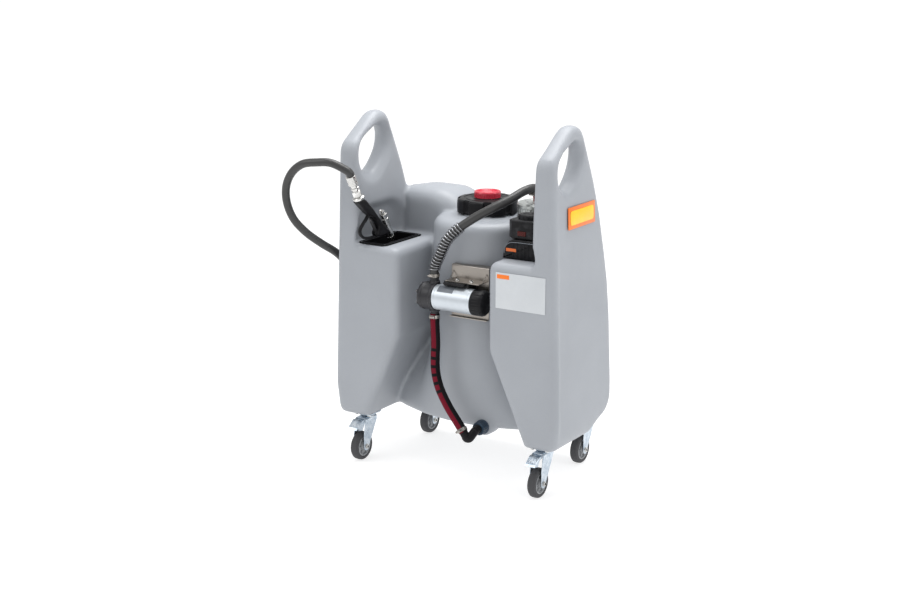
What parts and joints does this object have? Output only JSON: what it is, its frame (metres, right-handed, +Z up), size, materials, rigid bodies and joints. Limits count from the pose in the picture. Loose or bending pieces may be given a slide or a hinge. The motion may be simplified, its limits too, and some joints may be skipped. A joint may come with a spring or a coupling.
{
  "type": "oil transfer trolley",
  "caption": "Moulded plastic oil tank between two handle towers on swivel casters, with an electric pump, a flow head and a hand nozzle on a free hose.",
  "frame": {"origin": "on the floor under the middle of the trolley, measured without the free hose and its ferrule", "axes": "+Z up; +X to the right seen from the front, from the left handle tower to the right one; -Y towards the front, where the pump and the nozzle are"},
  "size_m": [0.8105, 0.6057, 0.971],
  "materials": {
    "tank_plastic": "satin, rotationally moulded",
    "seal_rubber": "matte",
    "black_plastic": "satin",
    "red_plastic": "semi-gloss",
    "red_brown_plastic": "satin",
    "blue_plastic": "satin",
    "lever_plastic": "satin",
    "suction_rubber": "semi-gloss",
    "hose_rubber": "satin",
    "cast_metal": "painted dark casting",
    "motor_can": "satin silver",
    "bright_metal": "bright, fine turned",
    "bracket_sheet": "bright sheet",
    "zinc_plate": "zinc plated, pressed",
    "dark_steel": "oiled steel",
    "tyre_rubber": "matte",
    "hub_grey": "satin",
    "label_white": "blank film",
    "sign_orange": "blank film",
    "sign_yellow": "blank film"
  },
  "bodies": {
    "trolley": {"tank_shell": "tank_plastic", "filler_gasket": "seal_rubber", "nozzle_holder": "black_plastic", "outlet_bulkhead": "blue_plastic", "outlet_elbow": "black_plastic", "suction_hose": "suction_rubber", "riser_hose": "hose_rubber", "kink_guard_spring": "black_plastic", "hose_clamp_suction_pump_end": "bright_metal", "hose_clamp_suction_far_end": "bright_metal", "hose_clamp_riser_pump_end": "bright_metal", "hose_clamp_riser_far_end": "bright_metal", "pump_head": "cast_metal", "pump_motor_can": "motor_can", "pump_end_cap": "black_plastic", "pump_foot": "black_plastic", "pump_bracket": "bracket_sheet", "meter_body": "bright_metal", "meter_inlet": "red_brown_plastic", "meter_outlet": "black_plastic", "delivery_hose": "hose_rubber", "battery_dock": "black_plastic", "label_plate": "label_white", "end_plate": "sign_orange", "end_plate_inlay": "sign_yellow", "caster_front_left_plate": "zinc_plate", "caster_front_right_plate": "zinc_plate", "caster_rear_left_plate": "zinc_plate", "caster_rear_right_plate": "zinc_plate"},
    "cap": {"filler_cap": "black_plastic"},
    "vent": {"vent_cap": "red_plastic"},
    "rotor": {"pump_rotor": "dark_steel"},
    "nozzle": {"nozzle_body": "black_plastic", "lever_pin": "dark_steel", "nozzle_valve": "bright_metal", "nozzle_spout": "bright_metal"},
    "lever": {"nozzle_lever": "lever_plastic"},
    "swivel": {"nozzle_swivel": "bright_metal", "hose_ferrule": "bright_metal"},
    "pack": {"battery_pack": "black_plastic"},
    "latch": {"battery_latch": "red_plastic"},
    "fork_front_left": {"caster_front_left_fork": "zinc_plate", "caster_front_left_axle": "dark_steel"},
    "fork_front_right": {"caster_front_right_fork": "zinc_plate", "caster_front_right_axle": "dark_steel"},
    "fork_rear_left": {"caster_rear_left_fork": "zinc_plate", "caster_rear_left_axle": "dark_steel"},
    "fork_rear_right": {"caster_rear_right_fork": "zinc_plate", "caster_rear_right_axle": "dark_steel"},
    "wheel_front_left": {"caster_front_left_tyre": "tyre_rubber", "caster_front_left_hub": "hub_grey"},
    "wheel_front_right": {"caster_front_right_tyre": "tyre_rubber", "caster_front_right_hub": "hub_grey"},
    "wheel_rear_left": {"caster_rear_left_tyre": "tyre_rubber", "caster_rear_left_hub": "hub_grey"},
    "wheel_rear_right": {"caster_rear_right_tyre": "tyre_rubber", "caster_rear_right_hub": "hub_grey"},
    "pedal_front_left": {"caster_front_left_brake_pedal": "zinc_plate"},
    "pedal_front_right": {"caster_front_right_brake_pedal": "zinc_plate"}
  },
  "joints": [
    {"name": "cap_turn", "type": "hinge", "parent": "trolley", "child": "cap", "pos_m": [0, 0.058, 0.72], "axis": [0, 0, 1], "range_deg": [0, 450]},
    {"name": "vent_turn", "type": "hinge", "parent": "cap", "child": "vent", "pos_m": [0, 0.058, 0.75], "axis": [0, 0, 1], "range_deg": [0, 90]},
    {"name": "rotor_spin", "type": "hinge", "parent": "trolley", "child": "rotor", "pos_m": [0, -0.142, 0.5], "axis": [1, 0, 0], "continuous": true},
    {"name": "nozzle_lift", "type": "slide", "parent": "trolley", "child": "nozzle", "axis": [0, -0.4512, 0.8924], "range_m": [0, 0.12], "deforming": ["delivery_hose"]},
    {"name": "lever_squeeze", "type": "hinge", "parent": "nozzle", "child": "lever", "pos_m": [-0.236, -0.133, 0.648], "axis": [-1, 0, 0], "range_deg": [0, 5], "stiffness_Nm_per_rad": 0.4, "springref_deg": -11.46},
    {"name": "swivel_turn", "type": "hinge", "parent": "nozzle", "child": "swivel", "pos_m": [-0.23645, -0.2112, 0.7539], "axis": [-0.1061, -0.3972, 0.9116], "continuous": true},
    {"name": "pack_slide", "type": "slide", "parent": "trolley", "child": "pack", "axis": [0, -1, 0], "range_m": [0, 0.085]},
    {"name": "latch_press", "type": "slide", "parent": "pack", "child": "latch", "axis": [0, 1, 0], "range_m": [0, 0.0035], "stiffness_N_per_m": 500, "springref_m": -0.002},
    {"name": "swivel_front_left", "type": "hinge", "parent": "trolley", "child": "fork_front_left", "pos_m": [-0.283, -0.121, 0.12], "axis": [0, 0, 1], "continuous": true},
    {"name": "swivel_front_right", "type": "hinge", "parent": "trolley", "child": "fork_front_right", "pos_m": [0.283, -0.121, 0.12], "axis": [0, 0, 1], "continuous": true},
    {"name": "swivel_rear_left", "type": "hinge", "parent": "trolley", "child": "fork_rear_left", "pos_m": [-0.249, 0.18, 0.12], "axis": [0, 0, 1], "continuous": true},
    {"name": "swivel_rear_right", "type": "hinge", "parent": "trolley", "child": "fork_rear_right", "pos_m": [0.249, 0.18, 0.12], "axis": [0, 0, 1], "continuous": true},
    {"name": "roll_front_left", "type": "hinge", "parent": "fork_front_left", "child": "wheel_front_left", "pos_m": [-0.283, -0.151, 0.04], "axis": [1, 0, 0], "continuous": true},
    {"name": "roll_front_right", "type": "hinge", "parent": "fork_front_right", "child": "wheel_front_right", "pos_m": [0.283, -0.151, 0.04], "axis": [1, 0, 0], "continuous": true},
    {"name": "roll_rear_left", "type": "hinge", "parent": "fork_rear_left", "child": "wheel_rear_left", "pos_m": [-0.249, 0.15, 0.04], "axis": [1, 0, 0], "continuous": true},
    {"name": "roll_rear_right", "type": "hinge", "parent": "fork_rear_right", "child": "wheel_rear_right", "pos_m": [0.249, 0.15, 0.04], "axis": [1, 0, 0], "continuous": true},
    {"name": "brake_front_left", "type": "hinge", "parent": "fork_front_left", "child": "pedal_front_left", "pos_m": [-0.283, -0.153, 0.1169], "axis": [1, 0, 0], "range_deg": [0, 14]},
    {"name": "brake_front_right", "type": "hinge", "parent": "fork_front_right", "child": "pedal_front_right", "pos_m": [0.283, -0.153, 0.1169], "axis": [1, 0, 0], "range_deg": [0, 14]}
  ]
}
